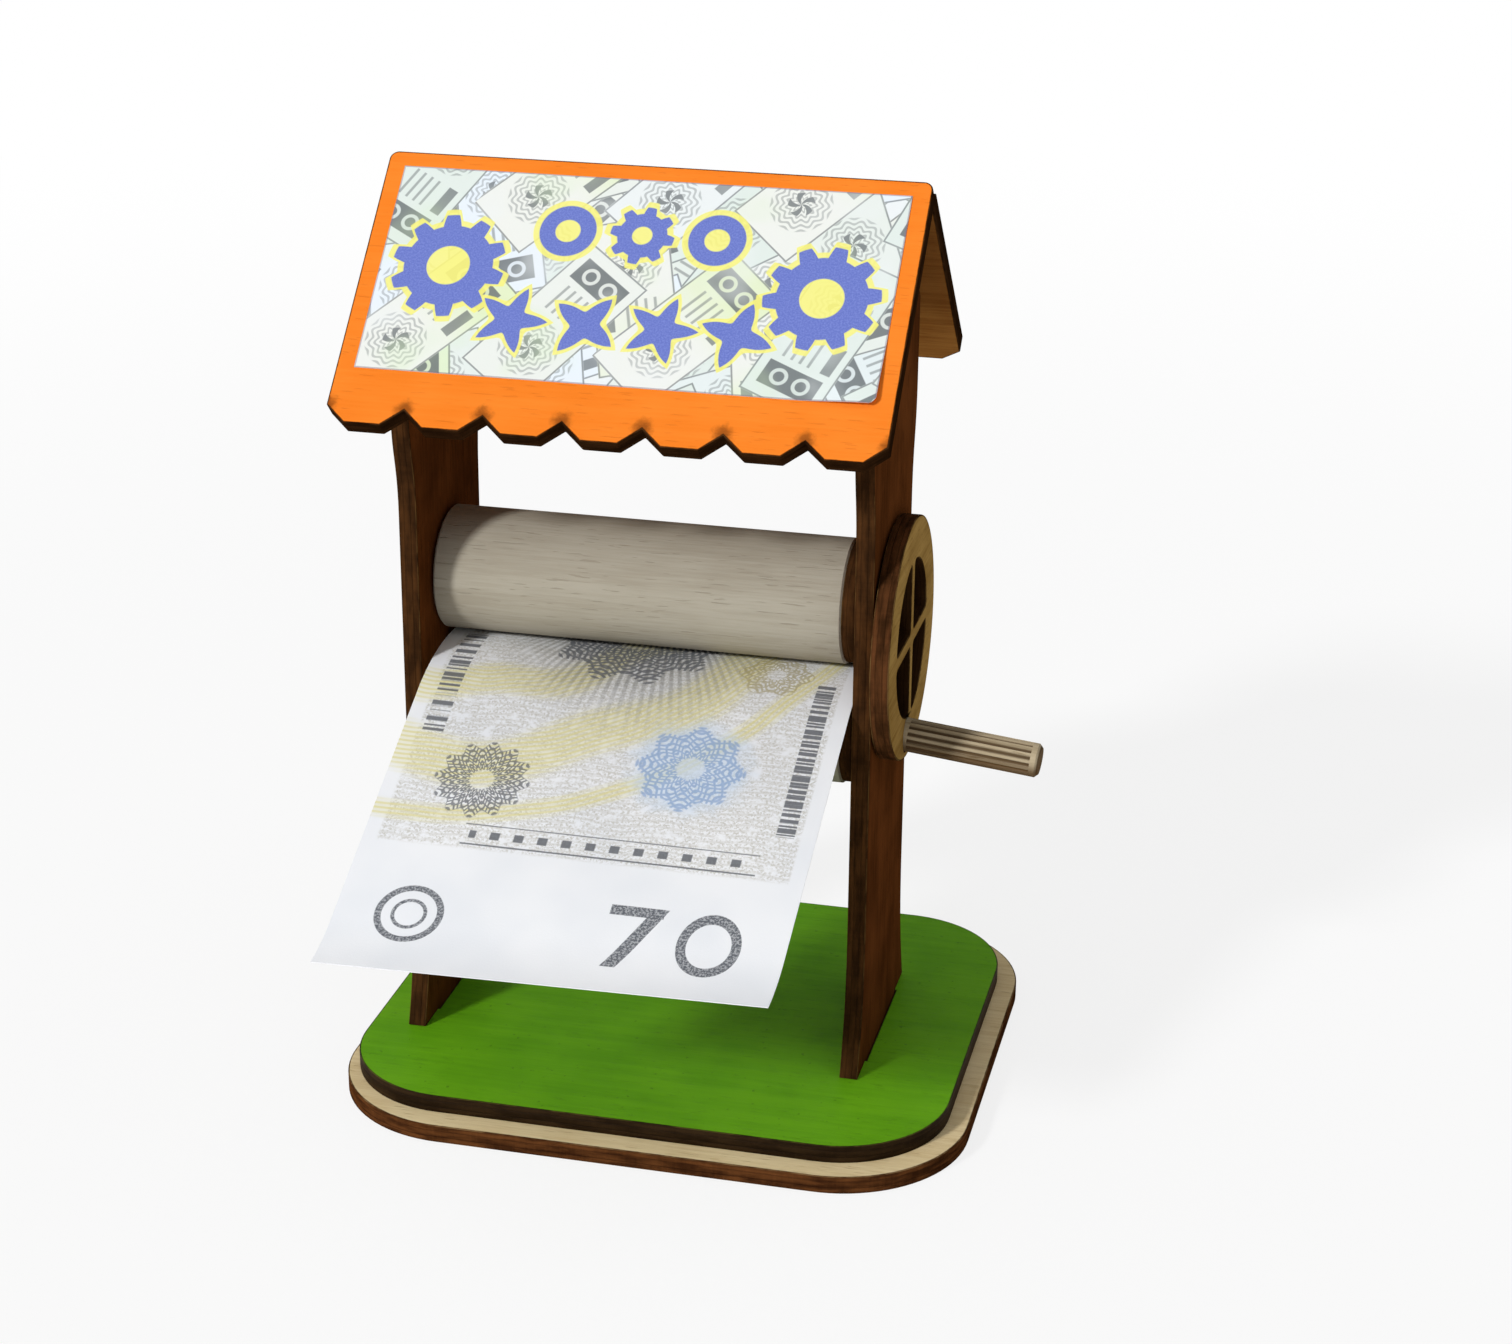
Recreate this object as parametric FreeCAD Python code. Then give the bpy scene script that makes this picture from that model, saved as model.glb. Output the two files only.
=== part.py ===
import FreeCAD, Part
import math
import os
from FreeCAD import Vector

# A hand cranked desk toy of laser-cut plywood: a little wishing well whose two rollers feed out a play note.
# Millimetres. Z is up, the front of the toy faces -Y, and the crank stands on the +X side.
# The origin is the middle of the underside of the lower base plate.

# Plywood sheet that the flat pieces are cut from
PLY = 3.1

# Upper base plate: its margins round the feet of the uprights, widest under the crank
UPPER_MARGIN_LEFT = 6.5
UPPER_MARGIN_RIGHT = 16.5
UPPER_MARGIN_FRONT = 22.5
UPPER_MARGIN_REAR = 23.9
UPPER_CORNER = 19.0

# Lower base plate: its margins round the upper plate
LOWER_MARGIN_LEFT = 1.5
LOWER_MARGIN_RIGHT = 3.5
LOWER_MARGIN_FRONT = 4.3
LOWER_MARGIN_REAR = 2.9
LOWER_CORNER = 22.0

# Uprights: the room that they leave beside the note, and their half depths from foot to shoulder
NOTE_SIDE_ROOM = 0.8
FOOT_HALF_DEPTH = 20.4
WAIST_HALF_DEPTH = 16.2
SHOULDER_HALF_DEPTH = 18.5
FOOT_FLARE_HEIGHT = 26.0
FOOT_LEAN_OUT = 2.6
FOOT_LEAN_UP = 8.0
NECK_HEIGHT = 20.0
SHOULDER_HEIGHT = 14.1
TENON_HALF_LENGTH = 13.2
SLOT_CLEARANCE = 0.15

# Roof: the ridge height over the table, the overhang and length of a panel, and its scalloped eave
RIDGE_HEIGHT = 155.2
ROOF_PITCH_DEG = 45.0
ROOF_OVERHANG = 4.9
ROOF_LENGTH = 50.1
SCALLOP_COUNT = 7
SCALLOP_FLAT = 6.0
SCALLOP_NOTCH = 2.9
ROOF_CORNER = 1.5

# Paper sign on the front roof panel
SIGN_SIDE_MARGIN = 3.0
SIGN_HEIGHT = 37.5
SIGN_BELOW_RIDGE = 2.8
SIGN_THICKNESS = 0.2
SIGN_CORNER = 3.0

# Rollers, one over the other, and the discs that fill the gap beside their right ends
ROLLER_RADIUS = 10.5
UPPER_ROLLER_HEIGHT = 84.5
NIP_GAP = 0.5
LEFT_END_PLAY = 0.4
RIGHT_END_PLAY = 0.3
SPACER_STEP = 0.3
ROLLER_END_ROUND = 0.3

# Dowel pins that the rollers turn on
AXLE_RADIUS = 2.5
AXLE_DEPTH_IN_ROLLER = 12.0
RUNNING_CLEARANCE = 0.05
GLUE_CLEARANCE = 0.03
AXLE_LEFT_STAND_OUT = 0.4
LOWER_AXLE_RIGHT_STAND_OUT = 0.2

# Crank wheel: it hangs from the axle, which is glued behind its upper spoke and not at its middle
WHEEL_RADIUS = 20.5
WHEEL_RING = 7.2
WHEEL_SPOKE = 2.4
WHEEL_DROP = 5.6
WHEEL_GAP = 0.4
WINDOW_ROUND = 0.8

# Handle: a fluted dowel in the rim, leaning down and a little to the front
HANDLE_RADIUS = 2.85
HANDLE_REACH = 22.9
HANDLE_SEAT_SHORT = 0.5
HANDLE_FROM_RIM = 4.0
HANDLE_SWING_DEG = 8.5
HANDLE_LEAN_DOWN_DEG = 5.3
HANDLE_LEAN_FRONT_DEG = 2.0
HANDLE_CHAMFER = 0.6
FLUTE_COUNT = 14
FLUTE_RADIUS = 0.42
FLUTE_START = 0.6
FLUTE_END_GAP = 1.5

# Play note: straight behind and through the nip, then bent down, straight again, and curled up at its tip
NOTE_WIDTH = 72.0
NOTE_LENGTH = 135.0
NOTE_THICKNESS = 0.2
NOTE_SHIFT_X = 0.5
NOTE_TILT_DEG = 3.0
NOTE_FLAT_FRONT = 1.5
NOTE_BEND_RADIUS = 39.0
NOTE_FALL_DEG = 26.0
NOTE_FALL_LENGTH = 48.0
NOTE_TIP_RADIUS = 30.0
NOTE_TIP_DEG = 20.0

# Two lengths closer than this count as the same
SAME = 0.001

# Sizes that follow from the ones above
BASE_TOP = 2 * PLY
UPRIGHT_GAP = NOTE_WIDTH + 2 * NOTE_SIDE_ROOM
MARGIN_LEFT = UPPER_MARGIN_LEFT + LOWER_MARGIN_LEFT
MARGIN_RIGHT = UPPER_MARGIN_RIGHT + LOWER_MARGIN_RIGHT
UPRIGHT_MIDDLE_X = (MARGIN_LEFT - MARGIN_RIGHT) / 2
ROOF_PITCH = math.radians(ROOF_PITCH_DEG)
ROOF_WIDTH = UPRIGHT_GAP + 2 * PLY + 2 * ROOF_OVERHANG
SIGN_WIDTH = ROOF_WIDTH - 2 * SIGN_SIDE_MARGIN
GABLE_TOP = RIDGE_HEIGHT - PLY / math.cos(ROOF_PITCH)
GABLE_FOOT = GABLE_TOP - SHOULDER_HALF_DEPTH * math.tan(ROOF_PITCH)
LEFT_INNER_X = UPRIGHT_MIDDLE_X - UPRIGHT_GAP / 2
RIGHT_INNER_X = UPRIGHT_MIDDLE_X + UPRIGHT_GAP / 2
LEFT_OUTER_X = LEFT_INNER_X - PLY
RIGHT_OUTER_X = RIGHT_INNER_X + PLY
ROLLER_LEFT_X = LEFT_INNER_X + LEFT_END_PLAY
ROLLER_RIGHT_X = RIGHT_INNER_X - RIGHT_END_PLAY - PLY
LOWER_ROLLER_HEIGHT = UPPER_ROLLER_HEIGHT - 2 * ROLLER_RADIUS - NIP_GAP
NIP_HEIGHT = (UPPER_ROLLER_HEIGHT + LOWER_ROLLER_HEIGHT) / 2
WHEEL_BACK_X = RIGHT_OUTER_X + WHEEL_GAP
WHEEL_FACE_X = WHEEL_BACK_X + PLY
WHEEL_HEIGHT = UPPER_ROLLER_HEIGHT - WHEEL_DROP
SPACER_RADIUS = ROLLER_RADIUS - SPACER_STEP
HANDLE_SWING = math.radians(HANDLE_SWING_DEG)
HANDLE_FROM_MIDDLE = WHEEL_RADIUS - HANDLE_FROM_RIM
HANDLE_Y = -HANDLE_FROM_MIDDLE * math.sin(HANDLE_SWING)
HANDLE_HEIGHT = WHEEL_HEIGHT - HANDLE_FROM_MIDDLE * math.cos(HANDLE_SWING)


def cylinder_x(radius, x_from, x_to, y, z):
    """Round bar along X."""
    return Part.makeCylinder(radius, x_to - x_from, Vector(x_from, y, z), Vector(1, 0, 0))


def edges_as_long_as(shape, length):
    return [edge for edge in shape.Edges if abs(edge.Length - length) < SAME]


def rounded_plate(left, right, front, rear, corner, z):
    """Flat plate with four round corners, whose margins are measured from the feet of the uprights."""
    x_from = LEFT_OUTER_X - left
    y_from = -FOOT_HALF_DEPTH - front
    width = RIGHT_OUTER_X + right - x_from
    depth = FOOT_HALF_DEPTH + rear - y_from
    plate = Part.makeBox(width, depth, PLY, Vector(x_from, y_from, z))
    return plate.makeFillet(corner, edges_as_long_as(plate, PLY))


def smooth_step(start, leave, end):
    """Curve from start, which it leaves along the vector given, to end, where it arrives straight up."""
    arrive = Vector(0, 0, (end.z - start.z) / 2)
    curve = Part.BezierCurve()
    curve.setPoles([start, start + leave, end - arrive, end])
    return curve.toShape()


def upright_edge(side):
    """One long edge of an upright, from foot to shoulder. side is -1 at the front and 1 at the rear."""
    foot = Vector(0, side * FOOT_HALF_DEPTH, BASE_TOP)
    waist_low = Vector(0, side * WAIST_HALF_DEPTH, BASE_TOP + FOOT_FLARE_HEIGHT)
    waist_high = Vector(0, side * WAIST_HALF_DEPTH, GABLE_FOOT - SHOULDER_HEIGHT - NECK_HEIGHT)
    shoulder_low = Vector(0, side * SHOULDER_HALF_DEPTH, GABLE_FOOT - SHOULDER_HEIGHT)
    shoulder_high = Vector(0, side * SHOULDER_HALF_DEPTH, GABLE_FOOT)
    return [
        smooth_step(foot, Vector(0, -side * FOOT_LEAN_OUT, FOOT_LEAN_UP), waist_low),
        Part.LineSegment(waist_low, waist_high).toShape(),
        smooth_step(waist_high, Vector(0, 0, NECK_HEIGHT / 2), shoulder_low),
        Part.LineSegment(shoulder_low, shoulder_high).toShape(),
    ]


def upright(x_from):
    """Board with a tenon under its foot, waisted edges, a gable top and the holes for two roller pins."""
    front = upright_edge(-1)
    rear = upright_edge(1)
    apex = Vector(0, 0, GABLE_TOP)
    front_shoulder = front[-1].Vertexes[-1].Point
    rear_shoulder = rear[-1].Vertexes[-1].Point
    foot_front = front[0].Vertexes[0].Point
    foot_rear = rear[0].Vertexes[0].Point
    outline = front + rear + [
        Part.LineSegment(front_shoulder, apex).toShape(),
        Part.LineSegment(apex, rear_shoulder).toShape(),
        Part.LineSegment(foot_rear, foot_front).toShape(),
    ]
    board = Part.Face(Part.Wire(Part.__sortEdges__(outline))).extrude(Vector(PLY, 0, 0))
    tenon = Part.makeBox(PLY, 2 * TENON_HALF_LENGTH, PLY, Vector(0, -TENON_HALF_LENGTH, BASE_TOP - PLY))
    board = board.fuse(tenon).removeSplitter()
    for height in (UPPER_ROLLER_HEIGHT, LOWER_ROLLER_HEIGHT):
        board = board.cut(cylinder_x(AXLE_RADIUS + RUNNING_CLEARANCE, -PLY, 2 * PLY, 0, height))
    board.translate(Vector(x_from, 0, 0))
    return board


def base_lower():
    front = UPPER_MARGIN_FRONT + LOWER_MARGIN_FRONT
    rear = UPPER_MARGIN_REAR + LOWER_MARGIN_REAR
    return rounded_plate(MARGIN_LEFT, MARGIN_RIGHT, front, rear, LOWER_CORNER, 0)


def base_upper():
    """Painted plate with a slot through it for the tenon of each upright."""
    plate = rounded_plate(
        UPPER_MARGIN_LEFT, UPPER_MARGIN_RIGHT, UPPER_MARGIN_FRONT, UPPER_MARGIN_REAR, UPPER_CORNER, PLY
    )
    slot_width = PLY + 2 * SLOT_CLEARANCE
    slot_length = 2 * (TENON_HALF_LENGTH + SLOT_CLEARANCE)
    for x_from in (LEFT_OUTER_X, RIGHT_INNER_X):
        corner = Vector(x_from - SLOT_CLEARANCE, -slot_length / 2, 0)
        plate = plate.cut(Part.makeBox(slot_width, slot_length, BASE_TOP + PLY, corner))
    return plate


def flat_roof_panel():
    """A panel with x across and y down from the ridge: round corners at the ridge, scallops at the eave."""
    half = ROOF_WIDTH / 2
    pitch = ROOF_WIDTH / SCALLOP_COUNT
    notch = ROOF_LENGTH - SCALLOP_NOTCH
    points = [Vector(-half, 0, 0)]
    for index in range(SCALLOP_COUNT):
        left = -half + pitch * index
        points.append(Vector(left, notch, 0))
        points.append(Vector(left + (pitch - SCALLOP_FLAT) / 2, ROOF_LENGTH, 0))
        points.append(Vector(left + (pitch + SCALLOP_FLAT) / 2, ROOF_LENGTH, 0))
    points += [Vector(half, notch, 0), Vector(half, 0, 0), points[0]]
    panel = Part.Face(Part.makePolygon(points)).extrude(Vector(0, 0, -PLY))
    ridge_corners = [edge for edge in edges_as_long_as(panel, PLY) if edge.CenterOfMass.y < SAME]
    return panel.makeFillet(ROOF_CORNER, ridge_corners)


def lay_on_slope(shape, side):
    """Lays a shape, drawn with x across, y downhill and z outwards, on the front (-1) or rear (1) slope."""
    down = Vector(0, side * math.cos(ROOF_PITCH), -math.sin(ROOF_PITCH))
    out = Vector(0, side * math.sin(ROOF_PITCH), math.cos(ROOF_PITCH))
    across = down.cross(out)
    turn = FreeCAD.Matrix(
        across.x, down.x, out.x, 0,
        across.y, down.y, out.y, 0,
        across.z, down.z, out.z, RIDGE_HEIGHT,
        0, 0, 0, 1,
    )
    placed = shape.copy()
    placed.transformShape(turn)
    placed.translate(Vector(UPRIGHT_MIDDLE_X, 0, 0))
    return placed


def roof_front():
    return lay_on_slope(flat_roof_panel(), -1)


def roof_rear():
    """The rear panel stops against the back of the front one, so the ridge is a butt joint."""
    beyond = Part.makeBox(2 * ROOF_WIDTH, 2 * PLY, 2 * PLY, Vector(-ROOF_WIDTH, -PLY, -PLY))
    return lay_on_slope(flat_roof_panel(), 1).cut(lay_on_slope(beyond, -1))


def roof_sign():
    """Paper rectangle on the front panel, with one round corner where it has lifted."""
    sheet = Part.makeBox(
        SIGN_WIDTH, SIGN_HEIGHT, SIGN_THICKNESS, Vector(-SIGN_WIDTH / 2, SIGN_BELOW_RIDGE, 0)
    )
    placed = lay_on_slope(sheet, -1)
    corners = edges_as_long_as(placed, SIGN_THICKNESS)
    right_corners = [edge for edge in corners if edge.CenterOfMass.x > UPRIGHT_MIDDLE_X]
    lifted = min(right_corners, key=lambda edge: edge.CenterOfMass.z)
    return placed.makeFillet(SIGN_CORNER, [lifted])


def roller(height):
    """Turned bar with slightly broken ends and a blind hole for a pin in each end."""
    bar = cylinder_x(ROLLER_RADIUS, ROLLER_LEFT_X, ROLLER_RIGHT_X, 0, height)
    rims = [edge for edge in bar.Edges if isinstance(edge.Curve, Part.Circle)]
    bar = bar.makeChamfer(ROLLER_END_ROUND, rims)
    hole = AXLE_RADIUS + GLUE_CLEARANCE
    depth = AXLE_DEPTH_IN_ROLLER + SLOT_CLEARANCE
    bar = bar.cut(cylinder_x(hole, ROLLER_LEFT_X - PLY, ROLLER_LEFT_X + depth, 0, height))
    return bar.cut(cylinder_x(hole, ROLLER_RIGHT_X - depth, ROLLER_RIGHT_X + PLY, 0, height))


def spacer(height):
    """Disc glued on the right end of a roller, over its pin."""
    disc = cylinder_x(SPACER_RADIUS, ROLLER_RIGHT_X, ROLLER_RIGHT_X + PLY, 0, height)
    hole = cylinder_x(AXLE_RADIUS + GLUE_CLEARANCE, ROLLER_RIGHT_X - PLY, ROLLER_RIGHT_X + 2 * PLY, 0, height)
    return disc.cut(hole)


def axle_left(height):
    x_from = LEFT_OUTER_X - AXLE_LEFT_STAND_OUT
    return cylinder_x(AXLE_RADIUS, x_from, ROLLER_LEFT_X + AXLE_DEPTH_IN_ROLLER, 0, height)


def axle_right(height, x_to):
    return cylinder_x(AXLE_RADIUS, ROLLER_RIGHT_X - AXLE_DEPTH_IN_ROLLER, x_to, 0, height)


def lean_handle(bar):
    """Takes a bar drawn along X from the origin to its place on the face of the wheel."""
    bar.rotate(Vector(0, 0, 0), Vector(0, 1, 0), HANDLE_LEAN_DOWN_DEG)
    bar.rotate(Vector(0, 0, 0), Vector(0, 0, 1), -HANDLE_LEAN_FRONT_DEG)
    bar.translate(Vector(WHEEL_FACE_X, HANDLE_Y, HANDLE_HEIGHT))
    return bar


def crank_wheel():
    """Flat ring with a cross of two thin spokes, and a hole in its rim for the handle."""
    wheel = cylinder_x(WHEEL_RADIUS, WHEEL_BACK_X, WHEEL_FACE_X, 0, WHEEL_HEIGHT)
    window_radius = WHEEL_RADIUS - WHEEL_RING
    beside_spoke = (WHEEL_SPOKE / 2, -WHEEL_SPOKE / 2 - window_radius)
    for low_y in beside_spoke:
        for low_z in beside_spoke:
            corner = Vector(WHEEL_BACK_X, low_y, WHEEL_HEIGHT + low_z)
            quarter = Part.makeBox(PLY, window_radius, window_radius, corner)
            opening = cylinder_x(window_radius, WHEEL_BACK_X, WHEEL_FACE_X, 0, WHEEL_HEIGHT).common(quarter)
            wheel = wheel.cut(opening.makeFillet(WINDOW_ROUND, edges_as_long_as(opening, PLY)))
    return wheel.cut(lean_handle(cylinder_x(HANDLE_RADIUS + GLUE_CLEARANCE, -2 * PLY, PLY, 0, 0)))


def crank_handle():
    """Fluted dowel: plain where it sits in the wheel, grooved along its length, chamfered at its free end."""
    bar = cylinder_x(HANDLE_RADIUS, HANDLE_SEAT_SHORT - PLY, HANDLE_REACH, 0, 0)
    rims = [edge for edge in bar.Edges if isinstance(edge.Curve, Part.Circle)]
    bar = bar.makeChamfer(HANDLE_CHAMFER, [rim for rim in rims if rim.CenterOfMass.x > 0])
    flute_length = HANDLE_REACH - FLUTE_START - FLUTE_END_GAP
    for index in range(FLUTE_COUNT):
        angle = 2 * math.pi * index / FLUTE_COUNT
        start = Vector(FLUTE_START, HANDLE_RADIUS * math.cos(angle), HANDLE_RADIUS * math.sin(angle))
        bar = bar.cut(Part.makeCylinder(FLUTE_RADIUS, flute_length, start, Vector(1, 0, 0)))
    return lean_handle(bar)


def along_paper(slope):
    """Direction to the front along paper that rises to the front by this slope, in radians."""
    return Vector(0, -math.cos(slope), math.sin(slope))


def out_of_paper(slope):
    """Direction out of the upper face of the same paper."""
    return Vector(0, math.sin(slope), math.cos(slope))


def paper_arc(start, slope, radius, turn):
    """Arc from start on which the slope grows by turn. Gives the arc and its end."""
    to_centre = math.copysign(radius, turn)
    centre = start + out_of_paper(slope) * to_centre
    middle = centre - out_of_paper(slope + turn / 2) * to_centre
    end = centre - out_of_paper(slope + turn) * to_centre
    return Part.Arc(start, middle, end).toShape(), end


def note_face(offset):
    """Edges of one face of the note, from its rear end to its tip, this far over the middle of the paper."""
    rise = math.radians(NOTE_TILT_DEG)
    fall = math.radians(NOTE_FALL_DEG)
    curl = math.radians(NOTE_TIP_DEG)
    bend_length = NOTE_BEND_RADIUS * (rise + fall)
    curl_length = NOTE_TIP_RADIUS * curl
    behind = NOTE_LENGTH - NOTE_FLAT_FRONT - bend_length - NOTE_FALL_LENGTH - curl_length
    nip = Vector(0, 0, NIP_HEIGHT) + out_of_paper(rise) * offset
    rear = nip - along_paper(rise) * behind
    bend_start = nip + along_paper(rise) * NOTE_FLAT_FRONT
    bend, bend_end = paper_arc(bend_start, rise, NOTE_BEND_RADIUS + offset, -rise - fall)
    curl_start = bend_end + along_paper(-fall) * NOTE_FALL_LENGTH
    tip, tip_end = paper_arc(curl_start, -fall, NOTE_TIP_RADIUS - offset, curl)
    behind_nip = Part.LineSegment(rear, bend_start).toShape()
    falling = Part.LineSegment(bend_end, curl_start).toShape()
    return [behind_nip, bend, falling, tip], rear, tip_end


def note():
    """Sheet of paper, as one thin solid of even thickness."""
    upper, upper_rear, upper_tip = note_face(NOTE_THICKNESS / 2)
    under, under_rear, under_tip = note_face(-NOTE_THICKNESS / 2)
    ends = [
        Part.LineSegment(upper_rear, under_rear).toShape(),
        Part.LineSegment(upper_tip, under_tip).toShape(),
    ]
    profile = Part.Face(Part.Wire(Part.__sortEdges__(upper + under + ends)))
    sheet = profile.extrude(Vector(NOTE_WIDTH, 0, 0))
    sheet.translate(Vector(UPRIGHT_MIDDLE_X + NOTE_SHIFT_X - NOTE_WIDTH / 2, 0, 0))
    return sheet


def all_parts():
    lower_axle_end = RIGHT_OUTER_X + LOWER_AXLE_RIGHT_STAND_OUT
    return {
        "base_lower": base_lower(),
        "base_upper": base_upper(),
        "upright_left": upright(LEFT_OUTER_X),
        "upright_right": upright(RIGHT_INNER_X),
        "roof_front": roof_front(),
        "roof_rear": roof_rear(),
        "roof_sign": roof_sign(),
        "roller_upper": roller(UPPER_ROLLER_HEIGHT),
        "spacer_upper": spacer(UPPER_ROLLER_HEIGHT),
        "axle_upper_left": axle_left(UPPER_ROLLER_HEIGHT),
        "axle_upper_right": axle_right(UPPER_ROLLER_HEIGHT, WHEEL_BACK_X),
        "crank_wheel": crank_wheel(),
        "crank_handle": crank_handle(),
        "roller_lower": roller(LOWER_ROLLER_HEIGHT),
        "spacer_lower": spacer(LOWER_ROLLER_HEIGHT),
        "axle_lower_left": axle_left(LOWER_ROLLER_HEIGHT),
        "axle_lower_right": axle_right(LOWER_ROLLER_HEIGHT, lower_axle_end),
        "note": note(),
    }


os.makedirs("parts", exist_ok=True)
for name, shape in all_parts().items():
    shape.exportStep(os.path.join("parts", name + ".step"))
    box = shape.BoundBox
    print(name, len(shape.Solids), shape.isValid(), round(shape.Volume, 1),
          [round(value, 2) for value in (box.XMin, box.XMax, box.YMin, box.YMax, box.ZMin, box.ZMax)])
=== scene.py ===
import math

import bmesh
import bpy
from mathutils import Matrix, Vector


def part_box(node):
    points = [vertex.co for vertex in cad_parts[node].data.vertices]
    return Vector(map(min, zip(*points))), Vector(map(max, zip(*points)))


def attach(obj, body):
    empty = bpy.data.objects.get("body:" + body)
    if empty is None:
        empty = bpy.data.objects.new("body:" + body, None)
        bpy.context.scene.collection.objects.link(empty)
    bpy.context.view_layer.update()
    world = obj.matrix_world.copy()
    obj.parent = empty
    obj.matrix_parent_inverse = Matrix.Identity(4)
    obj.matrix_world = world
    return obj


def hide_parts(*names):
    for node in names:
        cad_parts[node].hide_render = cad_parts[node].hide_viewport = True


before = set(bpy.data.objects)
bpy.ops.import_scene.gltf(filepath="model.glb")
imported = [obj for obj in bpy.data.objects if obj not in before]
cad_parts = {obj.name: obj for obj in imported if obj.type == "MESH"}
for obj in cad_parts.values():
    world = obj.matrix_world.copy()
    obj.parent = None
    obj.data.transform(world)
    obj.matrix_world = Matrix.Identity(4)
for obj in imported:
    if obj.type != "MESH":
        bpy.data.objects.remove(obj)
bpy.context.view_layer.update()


# Lower base plate
# A plate of 3 mm plywood with round corners, left bare, that the whole toy stands on.
# It is laser-cut, so its edge is burnt brown and shows the three layers of the plywood.
MM = 0.001
MERGE_DISTANCE = 0.005 * MM
EDGE_EASE = 0.14 * MM
SHARP_ANGLE = 25
SMOOTH_ANGLE = 35
SOOT_FRINGE = 0.5 * MM
GLUE_LINE = 0.56
BOARD_RELIEF = 0.09 * MM
BARE_LIGHT = (0.86, 0.70, 0.42, 1)
BARE_DARK = (0.70, 0.53, 0.28, 1)
BARE_EDGE = (0.155, 0.056, 0.017, 1)
BARE_SOOT = (0.022, 0.007, 0.003, 1)
BARE_WEAR_AND_GLINT = (0.36, 0.22, 0.10, 1)


def take_up(piece):
    """Makes this piece the only one selected, and the active one."""
    bpy.ops.object.select_all(action="DESELECT")
    piece.select_set(True)
    bpy.context.view_layer.objects.active = piece


def copy_of_node(node, name):
    """A merged copy of a node's skin, with each flat stretch as one face."""
    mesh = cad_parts[node].data.copy()
    mesh.name = name
    mesh.materials.clear()
    piece = bpy.data.objects.new(name, mesh)
    bpy.context.scene.collection.objects.link(piece)
    take_up(piece)
    bpy.ops.mesh.customdata_custom_splitnormals_clear()
    bpy.ops.object.mode_set(mode="EDIT")
    bpy.ops.mesh.select_all(action="SELECT")
    bpy.ops.mesh.remove_doubles(threshold=MERGE_DISTANCE)
    bpy.ops.mesh.dissolve_limited(angle_limit=math.radians(0.5))
    bpy.ops.object.mode_set(mode="OBJECT")
    return piece


def ease_sharp_edges(piece):
    """Rounds every sharp edge a little, as sanding and burning do."""
    take_up(piece)
    bpy.ops.object.mode_set(mode="EDIT")
    bpy.ops.mesh.select_mode(type="EDGE")
    bpy.ops.mesh.select_all(action="DESELECT")
    skin = bmesh.from_edit_mesh(piece.data)
    for edge in skin.edges:
        edge.select = edge.is_manifold and edge.calc_face_angle() > math.radians(SHARP_ANGLE)
    bmesh.update_edit_mesh(piece.data)
    bpy.ops.mesh.bevel(offset=EDGE_EASE, segments=2, affect="EDGES")
    bpy.ops.object.mode_set(mode="OBJECT")
    bpy.ops.object.shade_smooth_by_angle(angle=math.radians(SMOOTH_ANGLE))


def cut_board(node, name, along, out):
    """A board cut from a sheet. along is the way of its grain, and out points out of its good face.
    Each point keeps its place in the sheet, in millimetres, and 1 where it is on the cut edge."""
    piece = copy_of_node(node, name)
    bpy.ops.object.mode_set(mode="EDIT")
    bpy.ops.mesh.select_mode(type="FACE")
    bpy.ops.mesh.select_all(action="DESELECT")
    skin = bmesh.from_edit_mesh(piece.data)
    for face in skin.faces:
        face.select = abs(face.normal.dot(out)) > 0.999
    bmesh.update_edit_mesh(piece.data)
    bpy.ops.mesh.inset(thickness=SOOT_FRINGE, use_even_offset=True)
    bpy.ops.object.mode_set(mode="OBJECT")
    ease_sharp_edges(piece)

    low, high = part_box(node)
    origin = (low + high) / 2
    across = out.cross(along)
    on_edge = set()
    for face in piece.data.polygons:
        if abs(face.normal.dot(out)) < 0.9999:
            on_edge.update(face.vertices)
    piece.data.attributes.new("sheet", "FLOAT_VECTOR", "POINT")
    piece.data.attributes.new("cut", "FLOAT", "POINT")
    sheet = piece.data.attributes["sheet"]
    cut = piece.data.attributes["cut"]
    for vertex in piece.data.vertices:
        place = (vertex.co - origin) / MM
        sheet.data[vertex.index].vector = (place.dot(along), place.dot(across), place.dot(out))
        cut.data[vertex.index].value = 1.0 if vertex.index in on_edge else 0.0
    return piece


def feed(tree, value, socket):
    """Links a field or a socket to this socket, or sets it to a plain value."""
    if isinstance(value, Field):
        tree.links.new(value.socket, socket)
    elif isinstance(value, bpy.types.NodeSocket):
        tree.links.new(value, socket)
    else:
        socket.default_value = value


class Field:
    """A number that varies over a surface. A sum of fields adds the nodes that work it out."""

    def __init__(self, tree, socket):
        self.tree = tree
        self.socket = socket

    def math(self, operation, *others):
        """The outcome of a Math node of this operation, fed with this field and the others."""
        node = self.tree.nodes.new("ShaderNodeMath")
        node.operation = operation
        for value, socket in zip((self, *others), node.inputs):
            feed(self.tree, value, socket)
        return Field(self.tree, node.outputs[0])

    def __add__(self, other):
        return self.math("ADD", other)

    def __sub__(self, other):
        return self.math("SUBTRACT", other)

    def __mul__(self, other):
        return self.math("MULTIPLY", other)

    def __abs__(self):
        return self.math("ABSOLUTE")

    def most(self, other):
        return self.math("MAXIMUM", other)

    def least(self, other):
        return self.math("MINIMUM", other)

    def step(self, start, end):
        """Goes smoothly from 0 at start to 1 at end. start may be the larger of the two."""
        node = self.tree.nodes.new("ShaderNodeMapRange")
        node.interpolation_type = "SMOOTHSTEP"
        feed(self.tree, self, node.inputs["Value"])
        node.inputs["From Min"].default_value = min(start, end)
        node.inputs["From Max"].default_value = max(start, end)
        node.inputs["To Min"].default_value = 0.0 if start < end else 1.0
        node.inputs["To Max"].default_value = 1.0 if start < end else 0.0
        return Field(self.tree, node.outputs["Result"])


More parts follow.
